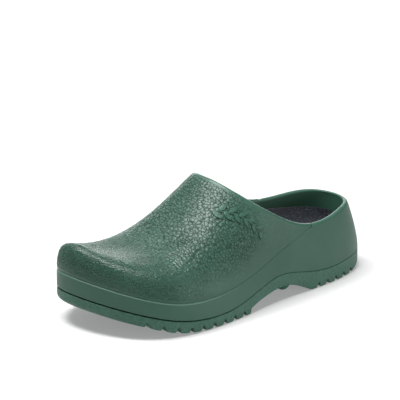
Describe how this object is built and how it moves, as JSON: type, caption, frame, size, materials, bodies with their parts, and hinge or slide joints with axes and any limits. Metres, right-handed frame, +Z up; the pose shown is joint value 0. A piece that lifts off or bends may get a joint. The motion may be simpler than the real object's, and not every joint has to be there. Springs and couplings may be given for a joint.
{
  "type": "rubber garden clog",
  "caption": "Closed-toe garden clog for the left foot: grained rubber vamp, smooth rand and heel cup, notched outsole with an arch hollow, and a lift-out cork footbed.",
  "frame": {"origin": "on the ground, under the middle of the clog's bounding box", "axes": "+Z up; the heel points along +Y and the toe along -Y; +X is the outer (lateral) side of the left foot"},
  "size_m": [0.1108, 0.28, 0.1028],
  "materials": {
    "grained_rubber": "pebbled leather grain, satin",
    "smooth_rubber": "smooth satin",
    "sole_rubber": "fine matte texture",
    "foam": "matte foam skin",
    "jute": "coarse open weave",
    "cork": "ground cork and latex, matte",
    "felt": "dark speckled felt"
  },
  "bodies": {
    "clog": {"vamp": "grained_rubber", "rand_and_quarter": "smooth_rubber", "outsole": "sole_rubber", "midsole": "foam"},
    "footbed": {"footbed_backing": "jute", "footbed_core": "cork", "footbed_cover": "felt"}
  },
  "joints": [
    {"name": "footbed_lift", "type": "hinge", "parent": "clog", "child": "footbed", "pos_m": [0, -0.1336, 0.0425], "axis": [1, 0, 0], "range_deg": [0, 10]}
  ]
}
